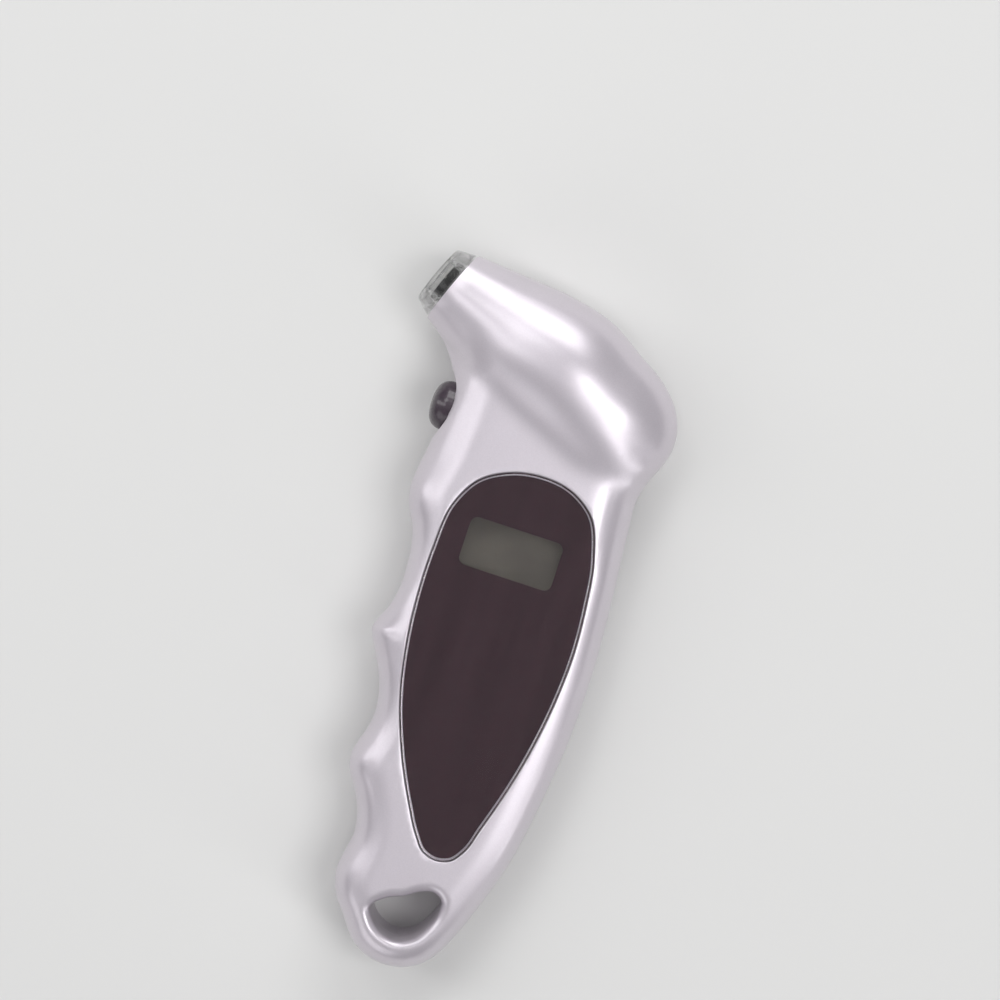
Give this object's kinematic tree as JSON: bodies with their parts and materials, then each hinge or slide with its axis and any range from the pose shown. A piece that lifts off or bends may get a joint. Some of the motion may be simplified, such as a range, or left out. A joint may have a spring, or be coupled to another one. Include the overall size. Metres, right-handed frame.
{
  "type": "digital tyre pressure gauge",
  "caption": "Hand-held electronic tyre pressure gauge: finger-grip handle with a long display lens, angled nozzle that presses onto the valve, side button and hang hole.",
  "frame": {"origin": "centre of the bounding box in X and Y, on the flat back face in Z", "axes": "the gauge lies on its flat back: +Z comes out of the display, +Y runs up the handle to the head, +X is to the display's right, so the nozzle leaves towards -X"},
  "size_m": [0.0592, 0.1438, 0.0265],
  "materials": {
    "silver_shell": "satin silver paint on moulded plastic",
    "clear_lens": "polished clear acrylic",
    "clear_ring": "frosted clear polycarbonate",
    "dark_film": "printed on the back",
    "display_glass": "grey-green, blank",
    "white_plastic": "moulded",
    "striped_rubber": "moulded",
    "green_laminate": "lacquered",
    "black_plastic": "moulded",
    "black_rubber": "moulded",
    "milky_silicone": "extruded",
    "plum_rubber": "satin",
    "brass": "turned",
    "bright_nickel": "plated",
    "zinc_steel": "zinc plated",
    "red_insulation": "extruded",
    "black_insulation": "extruded",
    "lamp_resin": "cast"
  },
  "bodies": {
    "gauge": {"front_shell": "silver_shell", "rear_shell": "silver_shell", "display_lens": "clear_lens", "light_guide": "clear_lens", "nozzle_ring": "clear_ring", "lens_film": "dark_film", "lcd_glass": "display_glass", "lcd_holder": "white_plastic", "nozzle_core": "white_plastic", "contact_strip_1": "striped_rubber", "contact_strip_2": "striped_rubber", "circuit_board": "green_laminate", "controller_chip": "black_plastic", "pressure_sensor": "black_plastic", "switch_body": "black_plastic", "valve_seal": "black_rubber", "air_tube": "milky_silicone", "depressor_pin": "brass", "button_cell_1": "bright_nickel", "button_cell_2": "bright_nickel", "button_cell_3": "bright_nickel", "positive_contact": "bright_nickel", "negative_contact": "bright_nickel", "case_screw_1": "zinc_steel", "case_screw_2": "zinc_steel", "case_screw_3": "zinc_steel", "case_screw_4": "zinc_steel", "case_screw_5": "zinc_steel", "board_screw_1": "zinc_steel", "board_screw_2": "zinc_steel", "board_screw_3": "zinc_steel", "positive_wire": "red_insulation", "negative_wire": "black_insulation", "backlight_lamp": "lamp_resin"},
    "button": {"power_button": "plum_rubber"},
    "plunger": {"switch_plunger": "black_plastic"},
    "door": {"battery_door": "silver_shell"}
  },
  "joints": [
    {"name": "button_press", "type": "slide", "parent": "gauge", "child": "button", "axis": [1, 0, 0], "range_m": [0, 0.0008], "stiffness_N_per_m": 1500},
    {"name": "plunger_press", "type": "slide", "parent": "gauge", "child": "plunger", "axis": [1, 0, 0], "range_m": [0, 0.0008]},
    {"name": "door_hinge", "type": "hinge", "parent": "gauge", "child": "door", "pos_m": [0.008, -0.0389, 0.00125], "axis": [-1, 0, 0], "range_deg": [0, 95]}
  ],
  "couplings": [
    {"joint": "plunger_press", "follows": "button_press", "ratio": 1}
  ]
}
